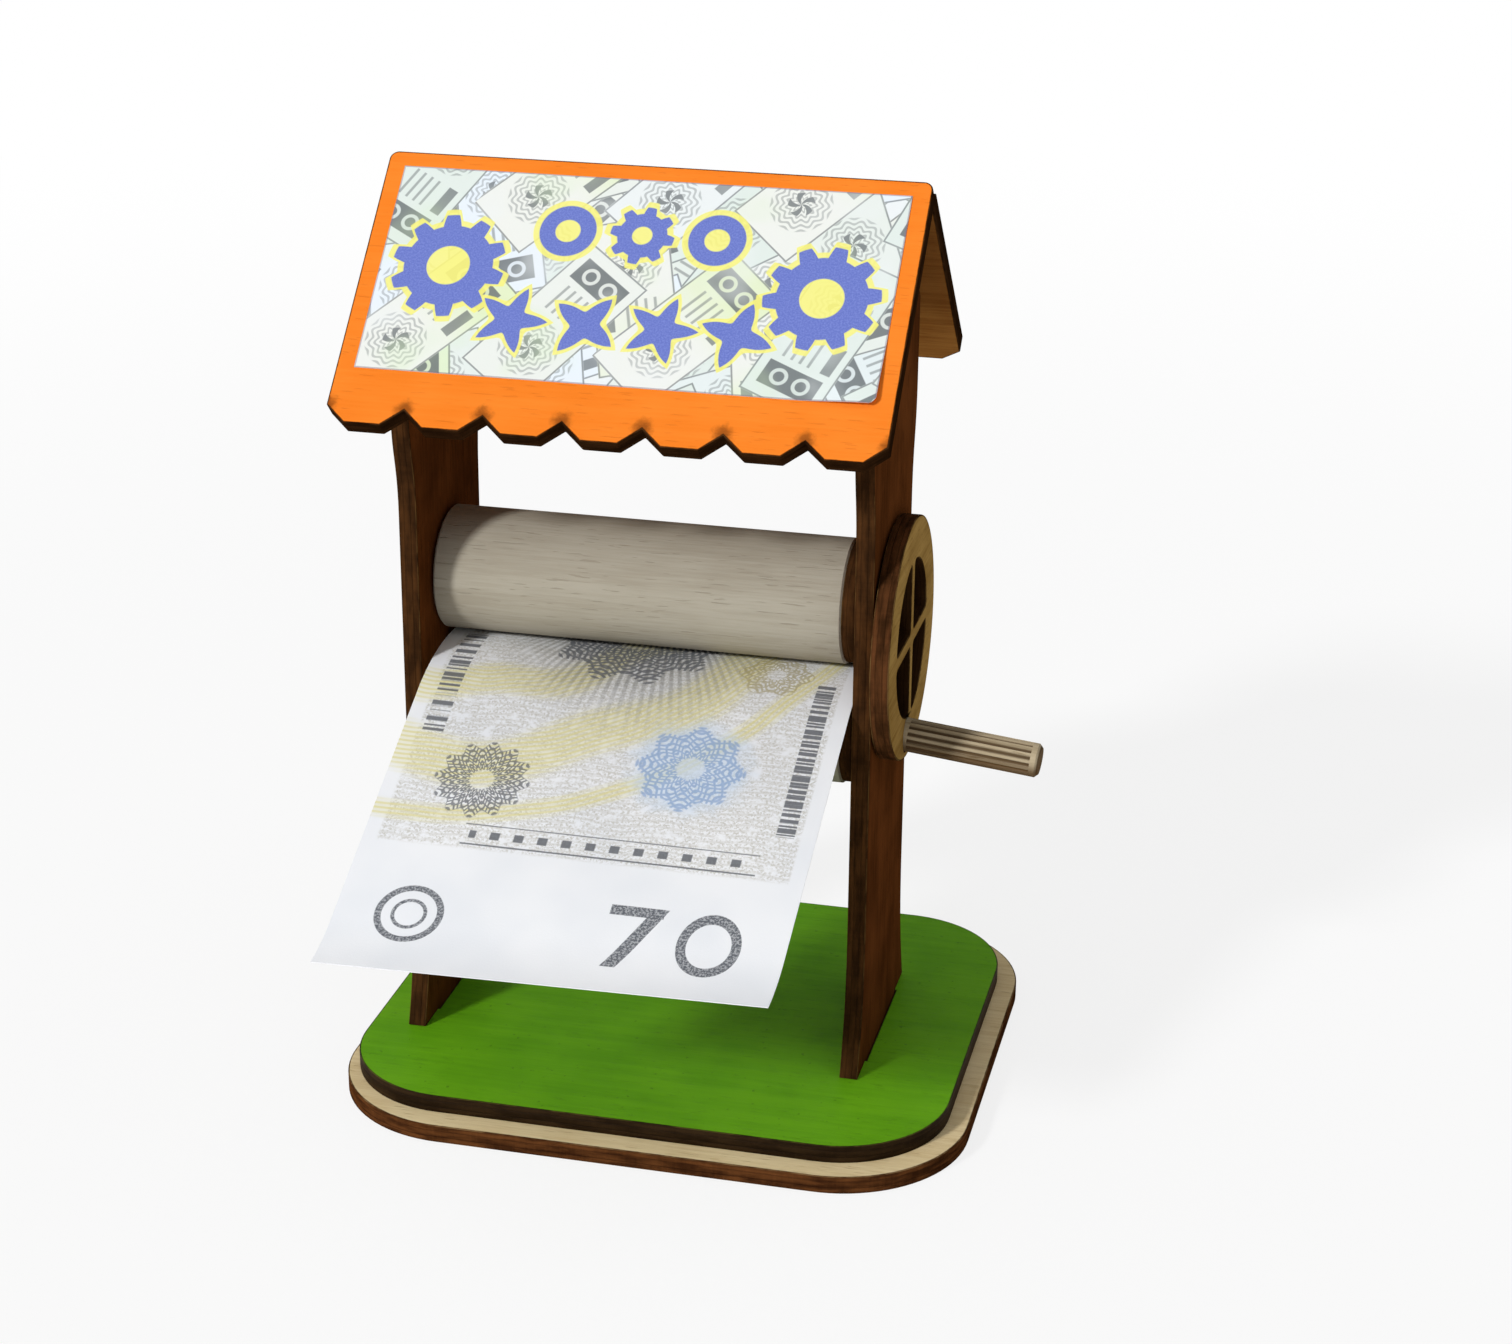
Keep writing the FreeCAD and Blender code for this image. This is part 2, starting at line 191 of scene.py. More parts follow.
def parts_of(tree, vector):
    """The three numbers of a vector, as fields."""
    node = tree.nodes.new("ShaderNodeSeparateXYZ")
    feed(tree, vector, node.inputs[0])
    return [Field(tree, socket) for socket in node.outputs]


def vector_of(tree, x, y, z):
    """A vector of three numbers or fields."""
    node = tree.nodes.new("ShaderNodeCombineXYZ")
    for value, socket in zip((x, y, z), node.inputs):
        feed(tree, value, socket)
    return node.outputs[0]


def scaled(tree, vector, factors):
    """A vector with each of its numbers multiplied by its own factor."""
    node = tree.nodes.new("ShaderNodeVectorMath")
    node.operation = "MULTIPLY"
    feed(tree, vector, node.inputs[0])
    node.inputs[1].default_value = factors
    return node.outputs[0]


def noise(tree, vector, scale, detail=3.0, roughness=0.55):
    """Soft random clouds, each about 1/scale wide."""
    node = tree.nodes.new("ShaderNodeTexNoise")
    feed(tree, vector, node.inputs["Vector"])
    node.inputs["Scale"].default_value = scale
    node.inputs["Detail"].default_value = detail
    node.inputs["Roughness"].default_value = roughness
    return Field(tree, node.outputs[0])


def tone(tree, mask, low, high):
    """Colour that goes from low to high as the mask goes from 0 to 1."""
    node = tree.nodes.new("ShaderNodeMix")
    node.data_type = "RGBA"
    feed(tree, mask, node.inputs[0])
    feed(tree, low, node.inputs[6])
    feed(tree, high, node.inputs[7])
    return node.outputs[2]


def kept_place(tree):
    """The place in its sheet that each point of a piece keeps as an attribute."""
    node = tree.nodes.new("ShaderNodeAttribute")
    node.attribute_name = "sheet"
    return node.outputs["Vector"]


def kept_cut(tree):
    """1 on a board's cut edge and 0 away from it, which each point keeps as an attribute."""
    node = tree.nodes.new("ShaderNodeAttribute")
    node.attribute_name = "cut"
    return Field(tree, node.outputs["Fac"])


def new_group(name, takes, gives):
    """An empty node group, with the words and kinds of what goes in and comes out."""
    tree = bpy.data.node_groups.new(name, "ShaderNodeTree")
    kinds = {"number": "NodeSocketFloat", "place": "NodeSocketVector", "colour": "NodeSocketColor"}
    for word, kind in takes.items():
        tree.interface.new_socket(name=word, in_out="INPUT", socket_type=kinds[kind])
    for word, kind in gives.items():
        tree.interface.new_socket(name=word, in_out="OUTPUT", socket_type=kinds[kind])
    return tree, tree.nodes.new("NodeGroupInput").outputs, tree.nodes.new("NodeGroupOutput").inputs


def use_group(tree, group, **values):
    """Places a node group with these values, and gives what it puts out."""
    node = tree.nodes.new("ShaderNodeGroup")
    node.node_tree = group
    for word, value in values.items():
        feed(tree, value, node.inputs[word])
    return node.outputs


def new_material(name, roughness, gloss=0.0):
    """A new material of this roughness and gloss, its tree, and the inputs of its shader."""
    material = bpy.data.materials.new(name)
    material.use_nodes = True
    tree = material.node_tree
    shader = tree.nodes["Principled BSDF"]
    shader.inputs["Roughness"].default_value = roughness
    shader.inputs["Specular IOR Level"].default_value = gloss
    return material, tree, shader.inputs


def raise_surface(tree, shader, height, depth):
    """Bumps the surface by this height field. depth is what a height of 1 stands for, in metres."""
    node = tree.nodes.new("ShaderNodeBump")
    node.inputs["Distance"].default_value = depth
    feed(tree, height, node.inputs["Height"])
    tree.links.new(node.outputs["Normal"], shader["Normal"])


def wood_grain_group():
    """Fine fibres along X, short dark pores, and slow clouds, from a place in millimetres."""
    tree, takes, gives = new_group(
        "wood grain", {"Place": "place"}, {"Fibre": "number", "Pore": "number", "Cloud": "number"}
    )
    place = takes["Place"]
    fibre = noise(tree, scaled(tree, place, (0.06, 1.4, 1.4)), 1.6, 5.0, 0.65)
    band = noise(tree, scaled(tree, place, (0.012, 0.35, 0.35)), 1.0, 3.0, 0.5)
    pore = noise(tree, scaled(tree, place, (0.22, 3.2, 3.2)), 1.0, 1.0, 0.5).step(0.66, 0.74)
    cloud = noise(tree, place, 0.07, 2.0, 0.5)
    feed(tree, fibre.step(0.3, 0.7) * 0.6 + band.step(0.35, 0.65) * 0.4, gives["Fibre"])
    feed(tree, pore, gives["Pore"])
    feed(tree, cloud.step(0.3, 0.7), gives["Cloud"])
    return tree


def burnt_edge_group():
    """Burnt edge of plywood, from a place in millimetres: three layers through the sheet, streaked by
    the laser, with soot in patches and long stretches where the rims are lighter, as wear and as a
    painted glint."""
    tree, takes, gives = new_group(
        "burnt edge",
        {"Place": "place", "Light": "colour", "Dark": "colour", "Worn": "colour"},
        {"Colour": "colour", "Height": "number"},
    )
    place = takes["Place"]
    through = parts_of(tree, place)[2]
    streak = noise(tree, scaled(tree, place, (1.1, 1.1, 0.10)), 1.0, 4.0, 0.7)
    patch = noise(tree, scaled(tree, place, (0.13, 0.13, 0.7)), 1.0, 3.0, 0.6)
    wander = noise(tree, scaled(tree, place, (0.10, 0.10, 0.0)), 1.0, 2.0, 0.5) * 0.3 - 0.15
    layer = abs(through + wander)
    core = layer.step(GLUE_LINE + 0.06, GLUE_LINE - 0.06)
    glue = abs(layer - GLUE_LINE).step(0.16, 0.04)
    rim = layer.step(1.05, 1.5)
    light = streak.step(0.3, 0.8) * 0.2 + patch.step(0.35, 0.65) * 0.65 + 0.15
    light = light * (core * -0.2 + 1) * (glue * -0.35 + 1) * (rim * -0.5 + 1)
    colour = tone(tree, light, takes["Dark"], takes["Light"])
    # Lighter stretches on the rims beside the faces: partly wear, partly a painted glint along the
    # eased corners.
    bare = noise(tree, scaled(tree, place, (0.12, 0.12, 0.05)), 1.0, 4.0, 0.7).step(0.40, 0.62)
    wear_and_glint = abs(through).step(1.34, 1.48) * bare * 0.5
    feed(tree, tone(tree, wear_and_glint, colour, takes["Worn"]), gives["Colour"])
    feed(tree, streak * 0.7 + glue * -0.6 + core * 0.2, gives["Height"])
    return tree


WOOD_GRAIN = wood_grain_group()
BURNT_EDGE = burnt_edge_group()


def grain_of(tree, place):
    """The fibres, pores and clouds of the wood at this place, as fields."""
    grain = use_group(tree, WOOD_GRAIN, Place=place)
    return [Field(tree, grain[word]) for word in ("Fibre", "Pore", "Cloud")]


def burn_edges(tree, shader, face_colour, face_height, edge, soot, wear_and_glint):
    """Finishes a board: its face as given, with soot that darkens towards the burnt edge all round."""
    place = kept_place(tree)
    cut = kept_cut(tree)
    burnt = use_group(tree, BURNT_EDGE, Place=place, Light=edge, Dark=soot, Worn=wear_and_glint)
    near_edge = (cut + noise(tree, place, 0.9, 2.0, 0.5) * 0.3 - 0.15).step(0.45, 1.05)
    sooty = tone(tree, near_edge, face_colour, soot)
    on_edge = cut.step(0.985, 0.999)
    feed(tree, tone(tree, on_edge, sooty, burnt["Colour"]), shader["Base Color"])
    height = face_height * (on_edge * -1 + 1) + Field(tree, burnt["Height"]) * on_edge
    raise_surface(tree, shader, height, BOARD_RELIEF)


def bare_plywood():
    """Bare sanded plywood face with a brown burnt edge."""
    material, tree, shader = new_material("bare plywood", 0.62)
    fibre, pore, cloud = grain_of(tree, kept_place(tree))
    light = fibre * 0.7 + cloud * 0.3 - pore * 0.5
    colour = tone(tree, light.step(0.0, 1.0), BARE_DARK, BARE_LIGHT)
    burn_edges(tree, shader, colour, fibre * 0.5 - pore, BARE_EDGE, BARE_SOOT, BARE_WEAR_AND_GLINT)
    return material


lower_plate = cut_board("base_lower", "lower_plate", Vector((1, 0, 0)), Vector((0, 0, 1)))
lower_plate.data.materials.append(bare_plywood())
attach(lower_plate, "base")
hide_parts("base_lower")


# Upper base plate
# A smaller plate of the same plywood, painted green on top and glued on the lower one.
# The tenons of the two uprights sit in its slots, with a hair of black gap round them.
GREEN_LIGHT = (0.155, 0.425, 0.010, 1)
GREEN_DARK = (0.104, 0.325, 0.006, 1)
GREEN_SPECK = (0.050, 0.160, 0.005, 1)
GREEN_EDGE = (0.037, 0.020, 0.008, 1)
GREEN_SOOT = (0.010, 0.005, 0.002, 1)
GREEN_WEAR_AND_GLINT = (0.12, 0.10, 0.022, 1)


def green_paint():
    """Thin green paint that lets the fibres show, with specks of dust in it."""
    material, tree, shader = new_material("green paint", 0.55, 0.03)
    place = kept_place(tree)
    fibre, pore, cloud = grain_of(tree, place)
    brush = noise(tree, scaled(tree, place, (0.03, 0.5, 0.5)), 1.0, 4.0, 0.6)
    light = fibre * 0.4 + cloud * 0.35 + brush.step(0.3, 0.7) * 0.25
    speck = noise(tree, place, 1.1, 1.0, 0.4).step(0.72, 0.78)
    colour = tone(tree, light.step(0.0, 1.0), GREEN_DARK, GREEN_LIGHT)
    colour = tone(tree, (speck + pore * 0.6).least(1.0) * 0.55, colour, GREEN_SPECK)
    height = fibre * 0.35 + speck * 0.3 - pore * 0.6
    burn_edges(tree, shader, colour, height, GREEN_EDGE, GREEN_SOOT, GREEN_WEAR_AND_GLINT)
    return material


upper_plate = cut_board("base_upper", "upper_plate", Vector((1, 0, 0)), Vector((0, 0, 1)))
upper_plate.data.materials.append(green_paint())
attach(upper_plate, "base")
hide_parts("base_upper")


# Uprights
# Two plywood boards with waisted edges and a gable top, stained dark brown before they were glued in.
# Their burnt edges keep more of the wood's own colour than the stained faces do.
STAIN_LIGHT = (0.150, 0.046, 0.0115, 1)
STAIN_DARK = (0.066, 0.020, 0.0052, 1)
STAIN_EDGE = (0.088, 0.035, 0.011, 1)
STAIN_SOOT = (0.020, 0.009, 0.004, 1)
STAIN_WEAR_AND_GLINT = (0.20, 0.105, 0.032, 1)


def dark_stain():
    """Dark brown stain that sinks into the fibres, with burnt brown edges."""
    material, tree, shader = new_material("dark stain", 0.48)
    fibre, pore, cloud = grain_of(tree, kept_place(tree))
    light = fibre * 0.6 + cloud * 0.5 - pore * 0.6
    colour = tone(tree, light.step(0.0, 1.1), STAIN_DARK, STAIN_LIGHT)
    burn_edges(tree, shader, colour, fibre * 0.6 - pore, STAIN_EDGE, STAIN_SOOT, STAIN_WEAR_AND_GLINT)
    return material


DARK_STAIN = dark_stain()
for side, outwards in (("left", -1), ("right", 1)):
    upright = cut_board(
        "upright_" + side, side + "_upright", along=Vector((0, 0, 1)), out=Vector((outwards, 0, 0))
    )
    upright.data.materials.append(DARK_STAIN)
    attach(upright, "base")
    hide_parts("upright_" + side)


# Roof
# Two plywood panels with a scalloped eave, glued on the gables so that they meet at a right angle.
# They are painted orange on top and bare below, and the laser has blackened their scallops.
SCALLOP_PITCH = 12.8
VALLEY = -22.1
ORANGE_LIGHT = (1.0, 0.262, 0.030, 1)
ORANGE_DARK = (0.92, 0.222, 0.020, 1)
ORANGE_PORE = (0.45, 0.10, 0.012, 1)
ORANGE_SMUDGE = (0.060, 0.018, 0.006, 1)
UNDERSIDE_LIGHT = (0.44, 0.190, 0.044, 1)
UNDERSIDE_DARK = (0.25, 0.090, 0.017, 1)
UNDERSIDE_PAINTED_SHADE = (0.13, 0.045, 0.010, 1)
ROOF_EDGE = (0.042, 0.017, 0.006, 1)
ROOF_SOOT = (0.012, 0.005, 0.002, 1)
ROOF_WEAR_AND_GLINT = (0.13, 0.055, 0.018, 1)


def polar(u, v):
    """Distance from where both fields read 0, and the angle round it."""
    distance = (u * u + v * v).math("SQRT")
    return distance, v.math("ARCTAN2", u)


def orange_paint():
    """Even orange paint on the upper face, bare wood below with painted shade towards the ridge, and a
    nearly black edge.
    The laser's smoke has left a smudge at each valley between two scallops."""
    material, tree, shader = new_material("orange paint", 0.55)
    place = kept_place(tree)
    fibre, pore, cloud = grain_of(tree, place)
    u, v, through = parts_of(tree, place)
    painted = through.step(0.0, 0.2)
    orange = tone(tree, (fibre * 0.6 + cloud * 0.4).step(0.0, 1.0), ORANGE_DARK, ORANGE_LIGHT)
    orange = tone(tree, pore * 0.14, orange, ORANGE_PORE)
    from_valley = ((u * (1 / SCALLOP_PITCH)).math("FRACT") - 0.5) * SCALLOP_PITCH
    smudge = polar(from_valley, (v - VALLEY) * 0.9)[0] + noise(tree, place, 0.8, 3.0, 0.6) * 2.0
    orange = tone(tree, smudge.step(3.2, 1.4) * 0.65, orange, ORANGE_SMUDGE)
    light = fibre * 0.7 + cloud * 0.4 - pore * 0.4
    bare = tone(tree, light.step(0.0, 1.0), UNDERSIDE_DARK, UNDERSIDE_LIGHT)
    # Painted shade: the bare underside darkens towards the ridge, where the panels shade it.
    bare = tone(tree, v.step(-20.0, 8.0) * 0.5, bare, UNDERSIDE_PAINTED_SHADE)
    colour = tone(tree, painted, bare, orange)
    burn_edges(tree, shader, colour, fibre * 0.3 - pore * 0.5, ROOF_EDGE, ROOF_SOOT, ROOF_WEAR_AND_GLINT)
    return material


ORANGE_PAINT = orange_paint()
for side, outwards in (("front", -1), ("rear", 1)):
    slope = Vector((0, outwards, 1)).normalized()
    panel = cut_board("roof_" + side, side + "_panel", Vector((-outwards, 0, 0)), slope)
    panel.data.materials.append(ORANGE_PAINT)
    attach(panel, "base")
    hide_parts("roof_" + side)


# Sign
# A sheet of printed paper glued on the front of the roof, with its lower right corner come loose.
# Its print is generic: scattered play notes, and over them bold blue shapes with yellow rims.
SIGN_WIDTH = 83.6
SIGN_HEIGHT = 37.5
SIGN_THICKNESS = 0.12 * MM
SIGN_PROUD = 0.05 * MM
SIGN_CORNER = 1.3
CORNER_CUTS = 7
CORNER_LIFT = 0.9 * MM
LIFT_REACH = 13 * MM
PAPER_RELIEF = 0.02 * MM
SIGN_WHITE = (0.83, 0.87, 0.89, 1)
SIGN_GREEN = (0.66, 0.84, 0.52, 1)
SIGN_BLUE = (0.085, 0.135, 0.56, 1)
SIGN_PALE_BLUE = (0.155, 0.215, 0.66, 1)
SIGN_YELLOW = (0.90, 0.86, 0.20, 1)
SIGN_INK = (0.13, 0.15, 0.16, 1)
SIGN_EDGE = (0.22, 0.17, 0.24, 1)

# Play notes printed all over the sign: the room that each has, its half size, and its tints
CELL_WIDTH = 33.0
CELL_HEIGHT = 17.5
HALF_WIDTH = 14.0
HALF_HEIGHT = 6.6
TINT_GREY = (0.74, 0.82, 0.78, 1)
TINT_PALE = (0.84, 0.86, 0.82, 1)
TINT_BLUE = (0.80, 0.87, 0.94, 1)
TINT_GREEN = (0.70, 0.84, 0.40, 1)
LAYERS = ((0.5, 3.0), (2.2, 41.0), (-0.35, 87.0), (1.15, 19.0), (-1.0, 64.0))

# Bold shapes: size, lobes, how deep these are cut, 1 if they are pointed, and the hole's radius
END_COG = (8.4, 10.0, 0.12, 0.0, 3.6)
ROW_SHAPES = (
    (4.4, 5.0, 0.40, 1.0, 0.0),
    (4.7, 0.0, 0.0, 0.0, 2.1),
    (4.3, 4.0, 0.42, 1.0, 0.0),
    (4.7, 8.0, 0.13, 0.0, 1.7),
)
ROW_COUNT = 7
ROW_PITCH = 6.1
ROW_MIDDLE = 18.8
ROW_RISE = 8.4


def boxed(u, v, half_u, half_v, soft=0.08):
    """Mask of a rectangle about the middle of these two fields."""
    return (abs(u) - half_u).most(abs(v) - half_v).step(soft, -soft)


def ringed(distance, radius, half_width, soft=0.08):
    """Mask of a line of this half width where a distance field reads radius."""
    return abs(distance - radius).step(half_width + soft, half_width - soft)


def largest_of(first, *others):
    """The largest of these fields at each point."""
    for other in others:
        first = first.most(other)
    return first


def turned(tree, place, angle):
    """The place, turned about the vertical by this angle."""
    node = tree.nodes.new("ShaderNodeVectorRotate")
    node.rotation_type = "Z_AXIS"
    feed(tree, place, node.inputs["Vector"])
    feed(tree, angle, node.inputs["Angle"])
    return node.outputs[0]


def scattered_notes_group():
    """One layer of little play notes, dealt in rows and each a little askew. A note has a rosette,
    a dark block with rings, a few fine lines and a tint of its own."""
    tree, takes, gives = new_group(
        "scattered play notes",
        {"Place": "place", "Turn": "number", "Shift": "number"},
        {"Inside": "number", "Colour": "colour"},
    )
    u, v, _ = parts_of(tree, turned(tree, takes["Place"], takes["Turn"]))
    u = (u + takes["Shift"]).math("DIVIDE", CELL_WIDTH)
    v = (v + takes["Shift"]).math("DIVIDE", CELL_HEIGHT)
    row = v.math("FLOOR")
    u = u + row * 0.37
    column = u.math("FLOOR")
    draw = tree.nodes.new("ShaderNodeTexWhiteNoise")
    draw.noise_dimensions = "3D"
    feed(tree, vector_of(tree, column, row, takes["Shift"]), draw.inputs["Vector"])
    luck = Field(tree, draw.outputs["Value"])
    other_luck, third_luck, _ = parts_of(tree, draw.outputs["Color"])
    local = vector_of(tree, (u - column - 0.5) * CELL_WIDTH, (v - row - 0.5) * CELL_HEIGHT, 0.0)
    u, v, _ = parts_of(tree, turned(tree, local, luck * 0.44 - 0.22))
    flip = other_luck.step(0.49, 0.51) * 2 - 1
    u = u * flip
    distance, angle = polar(u + 5.5, v)
    rosette = ((distance + (angle * 11).math("COSINE") * 0.3) * 6.5).math("SINE").step(-0.2, 0.6)
    rosette = rosette * distance.step(5.2, 4.9)
    sprig = ((angle * 5 + distance * 1.6).math("SINE") + 0.1).step(0.0, 0.3)
    sprig = sprig * distance.step(2.3, 2.1)
    ring = ringed(polar(u - 9.6, abs(v) - 2.0)[0], 1.2, 0.3)
    block = boxed(u - 9.6, v, 2.2, 4.8) * (ring * -0.85 + 1)
    lines = (v * 4.2).math("SINE").step(0.2, 0.9) * boxed(u - 3.6, v - 0.8, 2.6, 3.0)
    bar = boxed(u - 3.6, v + 4.2, 2.6, 0.9)
    border = boxed(u, v, HALF_WIDTH, HALF_HEIGHT) - boxed(u, v, HALF_WIDTH - 0.3, HALF_HEIGHT - 0.3)
    ink = largest_of(rosette * 0.45, sprig * 0.85, block * 0.9, lines * 0.6, border * 0.75, bar * 0.8)
    tint = tone(tree, other_luck.step(0.2, 0.9), TINT_GREY, TINT_PALE)
    tint = tone(tree, third_luck.step(0.4, 0.8), tint, TINT_BLUE)
    tint = tone(tree, luck.step(0.8, 0.9) * 0.6 * u.step(-2.0, 9.0), tint, TINT_GREEN)
    feed(tree, boxed(u, v, HALF_WIDTH, HALF_HEIGHT), gives["Inside"])
    feed(tree, tone(tree, ink, tint, SIGN_INK), gives["Colour"])
    return tree


def tone_number(tree, mask, low, high):
    """Number that goes from low to high as the mask goes from 0 to 1."""
    node = tree.nodes.new("ShaderNodeMix")
    for value, socket in zip((mask, low, high), (node.inputs[0], node.inputs[2], node.inputs[3])):
        feed(tree, value, socket)
    return Field(tree, node.outputs[0])


def bold_shape_group():
    """A bold shape with a hole in its middle: a cog with this many lobes, cut this deep, or a star
    where Pointed is 1. The rim stands out round the body."""
    tree, takes, gives = new_group(
        "bold shape",
        {"Place": "place", "U": "number", "V": "number", "Size": "number",
         "Lobes": "number", "Depth": "number", "Pointed": "number", "Hole": "number", "Turn": "number"},
        {"Body": "number", "Rim": "number"},
    )
    u, v, _ = parts_of(tree, takes["Place"])
    distance, angle = polar(u - takes["U"], v - takes["V"])
    round_it = (angle + takes["Turn"]) * takes["Lobes"]
    point = abs((round_it * 0.5).math("SINE")) * -2 + 1
    tooth = (round_it.math("COSINE") * 2.2).least(1.0).most(-1.0)
    lobe = tone_number(tree, takes["Pointed"], tooth, point)
    outline = distance - (lobe * takes["Depth"] + 1) * takes["Size"]
    rim = outline.step(1.05, 0.85)
    body = outline.step(0.05, -0.15)
    hole = (distance - takes["Hole"]).step(-0.15, 0.05)
    feed(tree, body * hole, gives["Body"])
    feed(tree, rim, gives["Rim"])
    return tree


def sign_print():
    """The sign's print: scattered play notes, under a cog at either end and a zigzag of shapes."""
    material, tree, shader = new_material("sign print", 0.45, 0.25)
    place = kept_place(tree)
    layer = scattered_notes_group()
    colour = SIGN_WHITE
    for turn, shift in LAYERS:
        laid = use_group(tree, layer, Place=place, Turn=turn, Shift=shift)
        colour = tone(tree, Field(tree, laid["Inside"]), colour, laid["Colour"])
    wash = noise(tree, place, 0.07, 2.0, 0.5)
    colour = tone(tree, wash.step(0.52, 0.72) * 0.35, colour, SIGN_GREEN)
    colour = tone(tree, wash.step(0.48, 0.28) * 0.45, colour, SIGN_WHITE)
    shapes = [(-30.5, 19.5, *END_COG, 0.2), (30.5, 18.0, *END_COG, 0.5)]
    for index in range(ROW_COUNT):
        at_u = ROW_PITCH * (index - (ROW_COUNT - 1) / 2)
        at_v = ROW_MIDDLE + (ROW_RISE if index % 2 else -ROW_RISE)
        shapes.append((at_u, at_v, *ROW_SHAPES[index % len(ROW_SHAPES)], 0.31 * index))
    shape = bold_shape_group()
    words = ("U", "V", "Size", "Lobes", "Depth", "Pointed", "Hole", "Turn")
    laid = [use_group(tree, shape, Place=place, **dict(zip(words, sizes))) for sizes in shapes]
    body = largest_of(*[Field(tree, outputs["Body"]) for outputs in laid])
    rim = largest_of(*[Field(tree, outputs["Rim"]) for outputs in laid])
    speckle = noise(tree, place, 3.2, 2.0, 0.7)
    blue = tone(tree, speckle.step(0.35, 0.75), SIGN_BLUE, SIGN_PALE_BLUE)
    colour = tone(tree, rim * 0.9, colour, SIGN_YELLOW)
    colour = tone(tree, body * 0.95, colour, blue)
    u, v, back = parts_of(tree, place)
    inner = boxed(u, v - SIGN_HEIGHT / 2, SIGN_WIDTH / 2 - 0.2, SIGN_HEIGHT / 2 - 0.2, 0.1)
    colour = tone(tree, inner * 0.6 + 0.4, SIGN_EDGE, colour)
    feed(tree, tone(tree, back.step(0.0, 0.05), colour, SIGN_WHITE), shader["Base Color"])
    raise_surface(tree, shader, noise(tree, place, 2.5, 3.0, 0.6), PAPER_RELIEF)
    return material


def sheet_of_paper(name, width, length, columns, rows):
    """A flat sheet of this many cells about the origin, facing up."""
    bpy.ops.object.select_all(action="DESELECT")
    bpy.ops.mesh.primitive_grid_add(x_subdivisions=columns, y_subdivisions=rows, size=1)
    piece = bpy.context.object
    piece.name = name
    piece.data.name = name
    piece.scale = (width * MM, length * MM, 1)
    bpy.ops.object.transform_apply(location=False, rotation=False, scale=True)
    return piece


def keep_flat_place(piece, length):
    """Each point of a flat sheet keeps its place on it, in millimetres: across from the middle, up from
    the lower edge, and 0 for the printed side."""
    sheet = piece.data.attributes.new("sheet", "FLOAT_VECTOR", "POINT")
    for vertex in piece.data.vertices:
        sheet.data[vertex.index].vector = (vertex.co.x / MM, vertex.co.y / MM + length / 2, 0)


def give_thickness(piece, thickness):
    """Thickens a sheet downwards. The points of its back keep a mirrored place, with 1 for the back."""
    front_points = len(piece.data.vertices)
    solid = piece.modifiers.new("paper", "SOLIDIFY")
    solid.thickness = thickness
    solid.offset = -1.0
    take_up(piece)
    bpy.ops.object.modifier_apply(modifier="paper")
    sheet = piece.data.attributes["sheet"]
    for index in range(front_points, len(piece.data.vertices)):
        u, v, _ = sheet.data[index].vector
        sheet.data[index].vector = (-u, v, 1)
    bpy.ops.object.shade_smooth_by_angle(angle=math.radians(SMOOTH_ANGLE))


sign = sheet_of_paper("printed_sign", SIGN_WIDTH, SIGN_HEIGHT, 84, 38)
bpy.ops.object.mode_set(mode="EDIT")
bpy.ops.mesh.select_mode(type="VERT")
arc_middle = Vector((SIGN_WIDTH / 2 - SIGN_CORNER, SIGN_CORNER - SIGN_HEIGHT / 2, 0)) * MM
for cut_index in range(CORNER_CUTS):
    angle = math.radians(90 * (cut_index + 0.5) / CORNER_CUTS)
    outwards = Vector((math.cos(angle), -math.sin(angle), 0))
    on_arc = arc_middle + outwards * SIGN_CORNER * MM
    bpy.ops.mesh.select_all(action="SELECT")
    bpy.ops.mesh.bisect(plane_co=on_arc, plane_no=outwards, clear_outer=True)
bpy.ops.object.mode_set(mode="OBJECT")
keep_flat_place(sign, SIGN_HEIGHT)
bpy.ops.object.mode_set(mode="EDIT")
bpy.ops.mesh.select_all(action="DESELECT")
skin = bmesh.from_edit_mesh(sign.data)
for vertex in skin.verts:
    vertex.select = (vertex.co - arc_middle).dot(Vector((1, -1, 0))) > 1.3 * SIGN_CORNER * MM
bmesh.update_edit_mesh(sign.data)
bpy.ops.transform.translate(
    value=(0, 0, CORNER_LIFT), use_proportional_edit=True,
    proportional_edit_falloff="SMOOTH", proportional_size=LIFT_REACH,
)
bpy.ops.object.mode_set(mode="OBJECT")
give_thickness(sign, SIGN_THICKNESS)
sign_low, sign_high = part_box("roof_sign")
roof_face = Vector((0, -1, 1)).normalized()
sign_middle = (sign_low + sign_high) / 2 + roof_face * SIGN_PROUD
sign.data.transform(Matrix.Translation(sign_middle) @ Matrix.Rotation(math.radians(45), 4, "X"))
sign.data.materials.append(sign_print())
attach(sign, "base")
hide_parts("roof_sign")


# Rollers and pins
# Two bars of pale bare wood that pinch the note, each on a dowel pin glued in either end.
# A plywood disc on the right end of each fills the gap beside the upright.
WOOD_RELIEF = 0.05 * MM
WOOD_LIGHT = (0.46, 0.425, 0.345, 1)
WOOD_DARK = (0.375, 0.335, 0.262, 1)


def object_place(tree):
    """The place in the piece's own frame, in millimetres."""
    coordinates = tree.nodes.new("ShaderNodeTexCoord")
    return scaled(tree, coordinates.outputs["Object"], (1 / MM, 1 / MM, 1 / MM))


def pale_wood():
    """Bare turned wood with its grain along the bar, and a few dark pores."""
    material, tree, shader = new_material("pale wood", 0.6)
    fibre, pore, cloud = grain_of(tree, object_place(tree))
    light = fibre * 0.75 + cloud * 0.25 - pore * 0.8
    colour = tone(tree, light.step(-0.1, 1.0), WOOD_DARK, WOOD_LIGHT)
    feed(tree, colour, shader["Base Color"])
    raise_surface(tree, shader, fibre * 0.6 - pore, WOOD_RELIEF)
    return material


